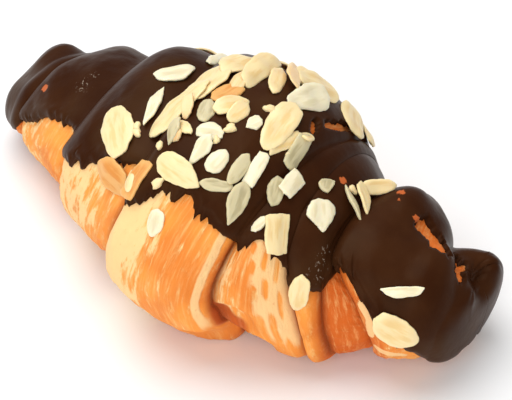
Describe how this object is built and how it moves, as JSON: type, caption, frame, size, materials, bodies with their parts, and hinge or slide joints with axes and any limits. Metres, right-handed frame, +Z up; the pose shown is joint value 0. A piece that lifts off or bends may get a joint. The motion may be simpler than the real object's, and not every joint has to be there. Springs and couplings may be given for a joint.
{
  "type": "chocolate croissant",
  "caption": "Crescent-shaped rolled pastry lying flat, its back and both horns coated in dark chocolate with almond flakes scattered on top.",
  "frame": {"origin": "middle of the flat underside that the croissant rests on", "axes": "+X along its length towards the blunt horn, -Y towards the side with bare pastry, +Z up"},
  "size_m": [0.1564, 0.0802, 0.0651],
  "materials": {
    "pastry": "matt browned crust",
    "chocolate": "satin set chocolate",
    "almond": "matt, pale"
  },
  "bodies": {
    "root": {"croissant": "pastry", "chocolate_coat": "chocolate", "almond_01": "almond", "almond_02": "almond", "almond_03": "almond", "almond_04": "almond", "almond_05": "almond", "almond_06": "almond", "almond_07": "almond", "almond_08": "almond", "almond_09": "almond", "almond_10": "almond", "almond_11": "almond", "almond_12": "almond", "almond_13": "almond", "almond_14": "almond", "almond_15": "almond", "almond_16": "almond", "almond_17": "almond", "almond_18": "almond", "almond_19": "almond", "almond_20": "almond", "almond_21": "almond", "almond_22": "almond", "almond_23": "almond", "almond_24": "almond", "almond_25": "almond", "almond_26": "almond", "almond_27": "almond", "almond_28": "almond", "almond_29": "almond", "almond_30": "almond", "almond_31": "almond", "almond_32": "almond", "almond_33": "almond", "almond_34": "almond", "almond_35": "almond", "almond_36": "almond", "almond_37": "almond", "almond_38": "almond", "almond_39": "almond", "almond_40": "almond", "almond_41": "almond", "almond_42": "almond", "almond_43": "almond", "almond_44": "almond", "almond_45": "almond", "almond_46": "almond", "almond_47": "almond", "almond_48": "almond", "almond_49": "almond", "almond_50": "almond", "almond_51": "almond", "almond_52": "almond", "almond_53": "almond", "almond_54": "almond", "almond_55": "almond", "almond_56": "almond"}
  },
  "joints": []
}
